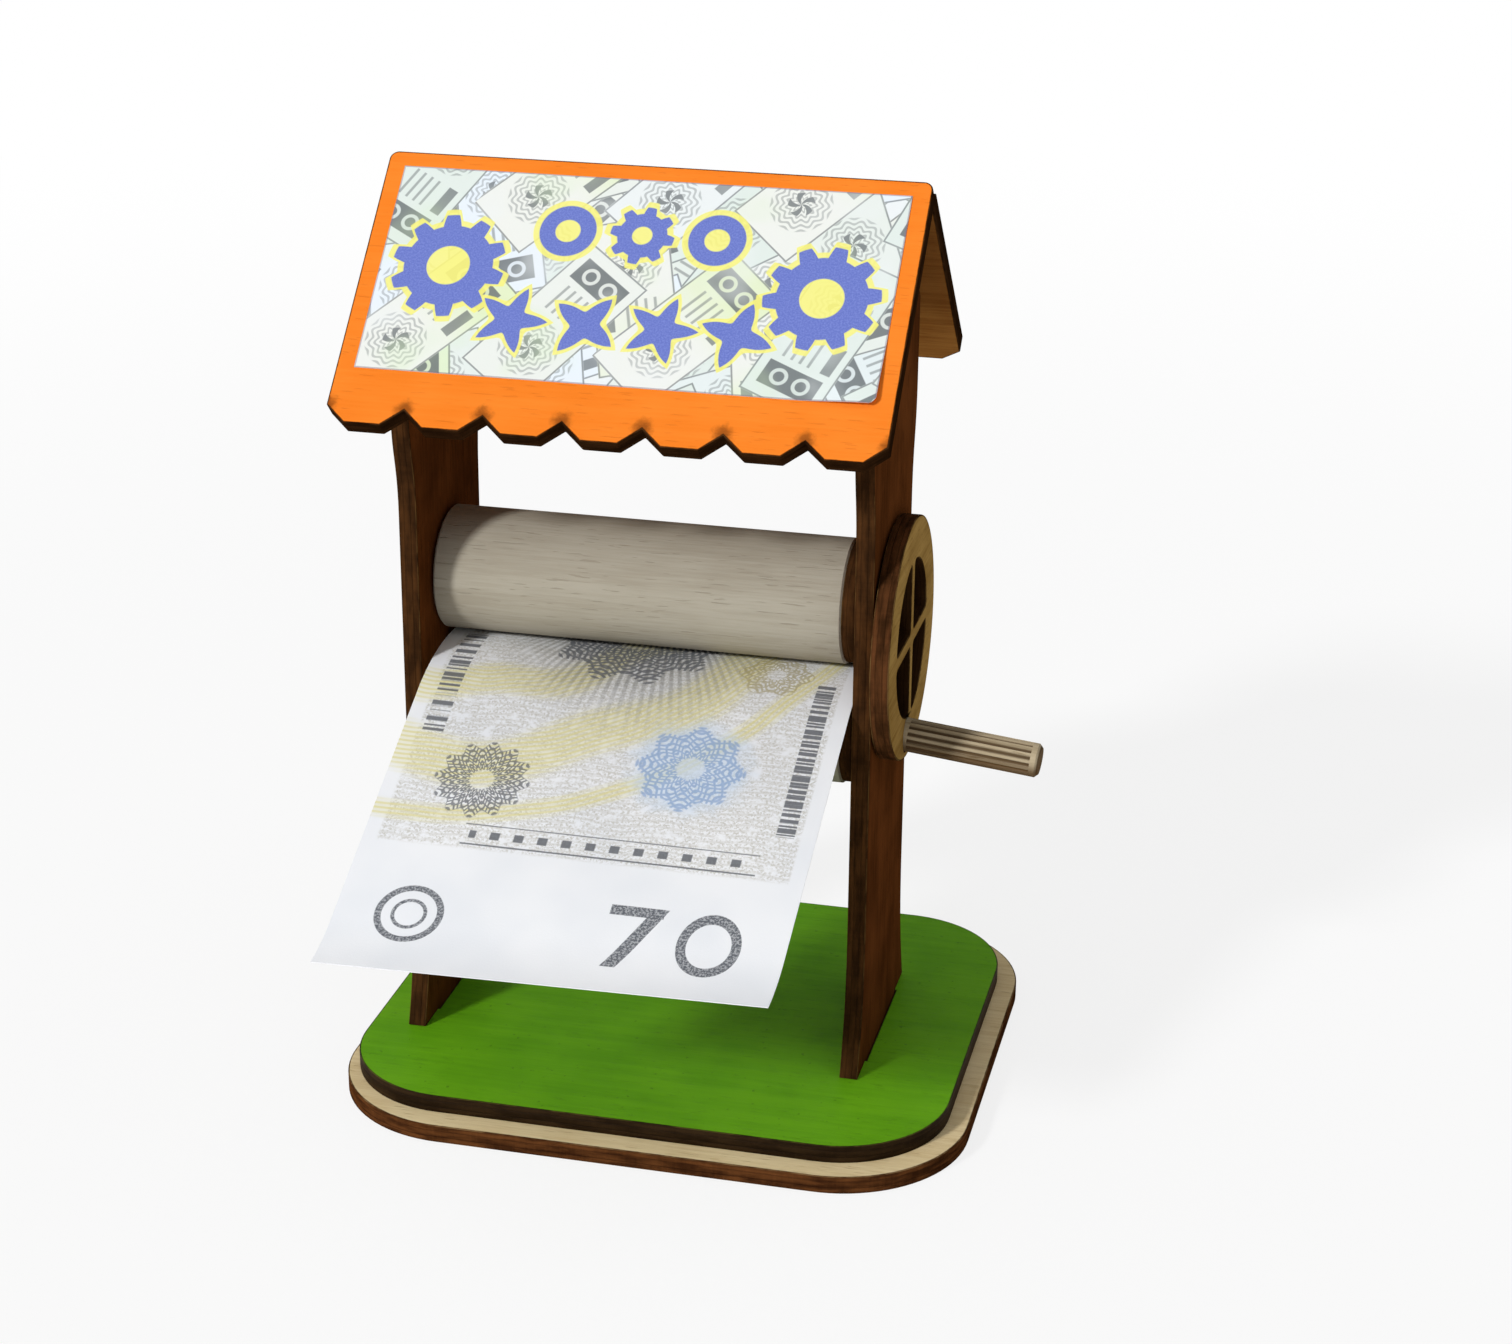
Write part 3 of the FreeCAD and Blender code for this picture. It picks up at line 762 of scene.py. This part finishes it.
PALE_WOOD = pale_wood()
for level, body in (("upper", "crank"), ("lower", "lower_roller")):
    for node in ("roller_" + level, "axle_" + level + "_left", "axle_" + level + "_right"):
        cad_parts[node].data.materials[0] = PALE_WOOD
    disc = cut_board("spacer_" + level, level + "_disc", Vector((0, 1, 0)), Vector((1, 0, 0)))
    disc.data.materials.append(DARK_STAIN)
    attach(disc, body)
    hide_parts("spacer_" + level)


# Crank wheel
# A ring of tan plywood with a cross of two thin spokes, glued on the end of the upper right pin.
# Its rim is burnt red-brown, and the walls of its four windows are darkened with painted shade.
WINDOW_REACH = 14.0
TAN_LIGHT = (0.43, 0.265, 0.080, 1)
TAN_DARK = (0.250, 0.140, 0.035, 1)
TAN_EDGE = (0.125, 0.046, 0.016, 1)
TAN_WINDOW_SHADE = (0.045, 0.020, 0.007, 1)
TAN_SOOT = (0.018, 0.008, 0.003, 1)
TAN_WEAR_AND_GLINT = (0.26, 0.16, 0.055, 1)


def tan_plywood():
    """Tan plywood face with a burnt edge, with painted shade on the walls of the wheel's windows."""
    material, tree, shader = new_material("tan plywood", 0.5)
    place = kept_place(tree)
    fibre, pore, cloud = grain_of(tree, place)
    light = fibre * 0.6 + cloud * 0.4 - pore * 0.5
    colour = tone(tree, light.step(0.0, 1.0), TAN_DARK, TAN_LIGHT)
    u, v, _ = parts_of(tree, place)
    # Painted shade: the cut walls of the windows are made darker than the burnt rim.
    window = polar(u, v)[0].step(WINDOW_REACH + 0.8, WINDOW_REACH)
    edge = tone(tree, window, TAN_EDGE, TAN_WINDOW_SHADE)
    burn_edges(tree, shader, colour, fibre * 0.5 - pore, edge, TAN_SOOT, TAN_WEAR_AND_GLINT)
    return material


wheel = cut_board("crank_wheel", "spoked_wheel", Vector((0, 1, 0)), Vector((1, 0, 0)))
wheel.data.materials.append(tan_plywood())
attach(wheel, "crank")
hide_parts("crank_wheel")


# Handle
# A fluted dowel of pale wood, glued in a hole in the rim of the wheel so that it leans a little.
# Its grooves and its underside are darkened with painted shade, and its end grain is darker.
HANDLE_BASE = Vector((37.4, -2.44, 62.58))
HANDLE_RADIUS = 2.85
HANDLE_REACH = 22.9
HANDLE_LEAN_DOWN = math.radians(5.3)
HANDLE_LEAN_FRONT = math.radians(2.0)
HANDLE_RELIEF = 0.03 * MM
HANDLE_LIGHT = (0.52, 0.43, 0.29, 1)
HANDLE_DARK = (0.31, 0.235, 0.135, 1)
GROOVE_PAINTED_SHADE = (0.085, 0.050, 0.024, 1)
HANDLE_UNDERSIDE_PAINTED_SHADE = (0.115, 0.060, 0.023, 1)
END_BROWN = (0.20, 0.13, 0.07, 1)


def fluted_wood():
    """Pale wood along the handle, with painted shade in the grooves and underneath, and a brown end."""
    material, tree, shader = new_material("fluted wood", 0.55)
    away = tree.nodes.new("ShaderNodeVectorMath")
    away.operation = "SUBTRACT"
    feed(tree, object_place(tree), away.inputs[0])
    away.inputs[1].default_value = HANDLE_BASE
    level = tree.nodes.new("ShaderNodeVectorRotate")
    level.rotation_type = "EULER_XYZ"
    level.invert = True
    feed(tree, away.outputs[0], level.inputs["Vector"])
    level.inputs["Rotation"].default_value = (0, HANDLE_LEAN_DOWN, -HANDLE_LEAN_FRONT)
    along, y, z = parts_of(tree, level.outputs[0])
    fibre, pore, cloud = grain_of(tree, level.outputs[0])
    light = fibre * 0.6 + cloud * 0.4 - pore * 0.5
    colour = tone(tree, light.step(-0.1, 1.0), HANDLE_DARK, HANDLE_LIGHT)
    # Painted shade in the grooves of the flutes.
    groove = polar(y, z)[0].step(HANDLE_RADIUS - 0.18, HANDLE_RADIUS - 0.42)
    colour = tone(tree, groove * 0.9, colour, GROOVE_PAINTED_SHADE)
    # Painted shade on the lower half of the handle.
    colour = tone(tree, z.step(1.0, -1.6) * 0.85, colour, HANDLE_UNDERSIDE_PAINTED_SHADE)
    end = along.step(HANDLE_REACH - 0.06, HANDLE_REACH - 0.01)
    colour = tone(tree, end * 0.55, colour, END_BROWN)
    feed(tree, colour, shader["Base Color"])
    raise_surface(tree, shader, fibre * 0.6 - pore, HANDLE_RELIEF)
    return material


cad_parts["crank_handle"].data.materials[0] = fluted_wood()


# Note
# Printed paper that the rollers pinch: flat behind them, bent down in front, curled up at its tip.
# Its print is generic: rosettes, bars, plain numbers and fine lines in grey, yellow and pale blue.
NOTE_WIDTH = 72.0
NOTE_LENGTH = 134.87
NOTE_THICKNESS = 0.16 * MM
NIP_HEIGHT = 73.75 * MM
NIP = Vector(((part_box("note")[0].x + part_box("note")[1].x) / 2, 0, NIP_HEIGHT))
NOTE_TILT = 3.0
NOTE_FRONT = ((1.5, 0.0), (19.74, -29.0), (47.88, 0.0), (10.47, 20.0))
NOTE_TWISTS = (0.0, 0.0, 0.0, -1.2, 0.4, 1.3)
NOTE_PAPER = (0.94, 0.955, 0.98, 1)
NOTE_CLOUD = (0.86, 0.885, 0.925, 1)
NOTE_INK = (0.12, 0.13, 0.15, 1)
NOTE_BROWN = (0.38, 0.35, 0.27, 1)
NOTE_YELLOW = (0.76, 0.70, 0.28, 1)
NOTE_BLUE = (0.60, 0.74, 0.92, 1)
NOTE_SHADE = (0.15, 0.15, 0.14, 1)

# Places on the note, in millimetres: across from its middle, and up from its tip
BAND_MIDDLE = (-30.0, 96.0)
WASH_MIDDLE = (13.0, 47.0)
SHADE_MIDDLE = (-3.0, 79.0)
RAY_MIDDLE = (-3.0, 104.0)
NUMBER_LINE = 12.0
MEDAL_MIDDLE = (-24.0, NUMBER_LINE)

# Rosettes: where each is, its size, its petals, how strong its print is, and its ink
ROSETTES = (
    (WASH_MIDDLE, 8.5, 8, 0.60, (0.16, 0.32, 0.62, 1)),
    ((-20.0, 40.0), 7.5, 12, 0.80, NOTE_INK),
    (SHADE_MIDDLE, 14.0, 10, 0.85, NOTE_INK),
    ((22.0, 71.0), 6.0, 6, 0.65, (0.40, 0.34, 0.14, 1)),
)


def note_way(slope):
    """The way forward along the note, where it slopes up by this angle."""
    return Vector((0, -math.cos(slope), math.sin(slope)))


def note_path():
    """A curve along the note's middle, from its rear edge to its tip. NOTE_FRONT says how each stretch
    in front of the rollers goes on: its length, and the angle that it turns upwards by. Each knot is
    twisted by its angle in NOTE_TWISTS."""
    rear = NOTE_LENGTH - sum(length for length, turn in NOTE_FRONT)
    slope = math.radians(NOTE_TILT)
    point = NIP - note_way(slope) * rear * MM
    knots = [(point.copy(), slope)]
    reaches = []
    for length, turn in ((rear, 0.0), *NOTE_FRONT):
        turn = math.radians(turn)
        chord = length * MM
        reach = chord / 3
        if turn:
            radius = length * MM / abs(turn)
            chord = 2 * radius * math.sin(abs(turn) / 2)
            reach = 4 / 3 * math.tan(abs(turn) / 4) * radius
        point += note_way(slope + turn / 2) * chord
        slope += turn
        knots.append((point.copy(), slope))
        reaches.append(reach)
    curve = bpy.data.curves.new("note_path", "CURVE")
    curve.dimensions = "3D"
    curve.twist_mode = "Z_UP"
    curve.resolution_u = 32
    curve.use_stretch = False
    curve.use_deform_bounds = False
    spline = curve.splines.new("BEZIER")
    spline.bezier_points.add(len(knots) - 1)
    for index, (place, slope) in enumerate(knots):
        knot = spline.bezier_points[index]
        knot.handle_left_type = knot.handle_right_type = "FREE"
        knot.co = place
        knot.handle_left = place - note_way(slope) * reaches[max(index - 1, 0)]
        knot.handle_right = place + note_way(slope) * reaches[min(index, len(reaches) - 1)]
        knot.tilt = math.radians(NOTE_TWISTS[index])
    path = bpy.data.objects.new("note_path", curve)
    bpy.context.scene.collection.objects.link(path)
    return path


def around(u, v, middle):
    """Distance and angle of a point of the sheet, seen from this middle."""
    return polar(u - middle[0], v - middle[1])


def note_print():
    """The note's print, with u across from its middle and v up from its tip."""
    material, tree, shader = new_material("note print", 0.5, 0.2)
    place = kept_place(tree)
    u, v, back = parts_of(tree, place)
    inside = v.step(25.5, 26.5) * v.step(NOTE_LENGTH - 4.0, NOTE_LENGTH - 4.5)
    inside = inside * (abs(u) - 33.5).step(0.3, -0.3)
    inside = inside * noise(tree, place, 0.35, 3.0, 0.6).step(0.30, 0.50)
    cloud = noise(tree, place, 0.05, 2.0, 0.5)
    colour = tone(tree, cloud.step(0.3, 0.7), NOTE_PAPER, NOTE_CLOUD)

    speckle = noise(tree, place, 2.2, 2.0, 0.7).step(0.44, 0.60)
    ripple = (v * 5.4 + (u * 0.42).math("SINE") * 2.0).math("SINE").step(-0.2, 0.9)
    colour = tone(tree, (speckle * 0.52).most(ripple * 0.30) * inside, colour, NOTE_BROWN)

    far, round_far = around(u, v, BAND_MIDDLE)
    wave = (round_far * 9).math("COSINE") * 1.6
    inner_band = ringed(far + wave, 36.0, 3.6, 1.6)
    outer_band = ringed(far - wave, 52.0, 4.6, 1.8)
    band = largest_of(inner_band, outer_band, ringed(far, 64.0, 1.6, 1.0))
    hair = (far * 6.6 + (round_far * 24).math("COSINE") * 1.4).math("SINE").step(-0.4, 0.8)
    colour = tone(tree, band * (hair * 0.45 + 0.35) * v.step(27.0, 30.0), colour, NOTE_YELLOW)

    wash = around(u, v, WASH_MIDDLE)[0] + noise(tree, place, 0.25, 3.0, 0.6) * 6.0
    colour = tone(tree, wash.step(15.0, 9.5) * 0.6, colour, NOTE_BLUE)
    shade = around(u, v, SHADE_MIDDLE)[0] + noise(tree, place, 0.2, 3.0, 0.6) * 8.0
    hatch = (around(u, v, RAY_MIDDLE)[1] * 170).math("SINE").step(-0.6, 0.8) * 0.5 + 0.4
    colour = tone(tree, shade.step(34.0, 10.0) * hatch * 0.95, colour, NOTE_SHADE)

    for middle, size, petals, strength, ink in ROSETTES:
        distance, angle = around(u, v, middle)
        petal = (angle * petals).math("COSINE")
        weave = ((distance + petal * 1.1) * 5.2).math("SINE").step(-0.3, 0.5)
        counter = ((distance - petal * 0.9) * 3.6).math("SINE").step(0.2, 0.9)
        within = (distance - petal * size * 0.10).step(size, size - 0.4)
        heart = distance.step(size * 0.24, size * 0.30)
        colour = tone(tree, weave.most(counter) * within * heart * strength, colour, ink)

    along = vector_of(tree, 0.0, v, 0.0)
    bars = noise(tree, along, 1.6, 1.0, 0.4).step(0.44, 0.50) * boxed(u - 31.0, v - 52.0, 1.5, 17.0)
    short_bars = noise(tree, along, 0.9, 1.0, 0.4).step(0.48, 0.53)
    short_bars = short_bars * boxed(u + 31.0, v - 62.0, 1.8, 13.0)
    colour = tone(tree, bars.most(short_bars) * 0.9, colour, NOTE_INK)

    rules = boxed(u - 4.0, v - 26.8, 24.0, 0.16).most(boxed(u - 4.0, v - 30.8, 24.0, 0.10))
    beads = ((u * 1.6).math("SINE") - 0.15).step(0.0, 0.3) * boxed(u - 4.0, v - 28.8, 23.0, 0.75)
    colour = tone(tree, rules.most(beads) * 0.9, colour, NOTE_INK)

    height = v - NUMBER_LINE
    ellipse = ((u - 24.0) * (u - 24.0) * 1.55 + height * height).math("SQRT")
    nought = ringed(ellipse, 5.3, 0.95)
    seven_top = boxed(u - 11.6, height - 5.2, 4.3, 0.95)
    seven_leg = boxed(u - 12.4 - height * 0.48, height, 1.2, 6.1)
    from_medal = around(u, v, MEDAL_MIDDLE)[0]
    medal = ringed(from_medal, 5.0, 0.55).most(ringed(from_medal, 2.6, 0.3))
    grit = noise(tree, place, 2.6, 2.0, 0.7).step(0.40, 0.56)
    numbers = largest_of(nought, seven_top, seven_leg, medal)
    colour = tone(tree, numbers * (grit * 0.4 + 0.6), colour, NOTE_INK)

    edge = abs(back - 0.5).step(0.5, 0.48)
    feed(tree, tone(tree, edge, colour, NOTE_PAPER), shader["Base Color"])
    raise_surface(tree, shader, noise(tree, place, 2.5, 3.0, 0.6), PAPER_RELIEF)
    return material


note = sheet_of_paper("play_note", NOTE_WIDTH, NOTE_LENGTH, 48, 180)
keep_flat_place(note, NOTE_LENGTH)
give_thickness(note, NOTE_THICKNESS)
path = note_path()
start_of_path = Matrix.Translation((NOTE_LENGTH / 2 * MM, 0, NOTE_THICKNESS / 2))
note.data.transform(start_of_path @ Matrix.Rotation(math.radians(90), 4, "Z"))
bend = note.modifiers.new("bend", "CURVE")
bend.object = path
bend.deform_axis = "POS_X"
take_up(note)
bpy.ops.object.modifier_apply(modifier="bend")
bpy.data.objects.remove(path)
note.data.materials.append(note_print())
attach(note, "note")
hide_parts("note")


# Stage
# A pale floor and backdrop, a soft lamp on the front left, a broad one overhead, and the camera.
CAMERA_PLACE = Vector((117.28, -455.78, 254.28)) * MM
CAMERA_YAW = 13.134
CAMERA_PITCH = 21.472
CAMERA_ROLL = 0.559
FOCAL_PIXELS = 2980.476
PHOTO_WIDTH = 1512
LAMP_TURN = 35.0
LAMP_HEIGHT = 29.0
LAMP_SPREAD = 8.0
LAMP_STRENGTH = 2.15
CEILING_HEIGHT = 85.0
CEILING_SPREAD = 80.0
CEILING_STRENGTH = 0.5
SKY = 0.30
FLOOR_SIZE = 60
FLOOR_COLOUR = (0.95, 0.95, 0.95, 1)
FLOOR_GLOW = 0.8
FADE_START = 0.20
FADE_END = 0.80

camera_data = bpy.data.cameras.new("camera")
camera_data.sensor_width = 36
camera_data.lens = FOCAL_PIXELS / PHOTO_WIDTH * camera_data.sensor_width
camera = bpy.data.objects.new("camera", camera_data)
bpy.context.scene.collection.objects.link(camera)
camera.matrix_world = (
    Matrix.Translation(CAMERA_PLACE)
    @ Matrix.Rotation(math.radians(CAMERA_YAW), 4, "Z")
    @ Matrix.Rotation(math.radians(90 - CAMERA_PITCH), 4, "X")
    @ Matrix.Rotation(math.radians(CAMERA_ROLL), 4, "Z")
)
bpy.context.scene.camera = camera


def soft_lamp(name, turn, height, spread, strength):
    """A far lamp of this angular spread, turned from straight in front and this high, in degrees."""
    data = bpy.data.lights.new(name, "SUN")
    data.angle = math.radians(spread)
    data.energy = strength
    lamp = bpy.data.objects.new(name, data)
    bpy.context.scene.collection.objects.link(lamp)
    turn = math.radians(turn)
    height = math.radians(height)
    level = math.cos(height)
    away = Vector((math.sin(turn) * level, math.cos(turn) * level, -math.sin(height)))
    lamp.location = -away
    lamp.rotation_mode = "QUATERNION"
    lamp.rotation_quaternion = away.to_track_quat("-Z", "Y")


soft_lamp("front_lamp", LAMP_TURN, LAMP_HEIGHT, LAMP_SPREAD, LAMP_STRENGTH)
soft_lamp("ceiling_lamp", LAMP_TURN, CEILING_HEIGHT, CEILING_SPREAD, CEILING_STRENGTH)


def seen_by_eye(tree):
    """1 for rays that carry a picture: the camera's own, and those in gloss and glass."""
    rays = tree.nodes.new("ShaderNodeLightPath").outputs
    kinds = ("Is Camera Ray", "Is Glossy Ray", "Is Transmission Ray")
    return largest_of(*[Field(tree, rays[kind]) for kind in kinds])


world = bpy.data.worlds.new("pale_room")
bpy.context.scene.world = world
world.use_nodes = True
sky = world.node_tree.nodes["Background"]
sky.inputs["Color"].default_value = (1, 1, 1, 1)
feed(world.node_tree, seen_by_eye(world.node_tree) * (1 - SKY) + SKY, sky.inputs["Strength"])

bpy.ops.object.select_all(action="DESELECT")
bpy.ops.mesh.primitive_plane_add(size=FLOOR_SIZE)
floor = bpy.context.object
floor.name = "floor"
floor_material, floor_tree, floor_shader = new_material("pale floor", 0.9)
floor_shader["Base Color"].default_value = FLOOR_COLOUR
glow = floor_tree.nodes.new("ShaderNodeEmission")
blend = floor_tree.nodes.new("ShaderNodeMixShader")
floor_place = floor_tree.nodes.new("ShaderNodeTexCoord").outputs["Object"]
floor_u, floor_v, _ = parts_of(floor_tree, floor_place)
faraway = polar(floor_u, floor_v)[0].step(FADE_START, FADE_END)
shown = faraway * (1 - FLOOR_GLOW) + FLOOR_GLOW
feed(floor_tree, seen_by_eye(floor_tree) * shown, blend.inputs[0])
floor_tree.links.new(floor_tree.nodes["Principled BSDF"].outputs[0], blend.inputs[1])
floor_tree.links.new(glow.outputs[0], blend.inputs[2])
floor_tree.links.new(blend.outputs[0], floor_tree.nodes["Material Output"].inputs[0])
floor.data.materials.append(floor_material)

scene = bpy.context.scene
scene.view_settings.view_transform = "Standard"
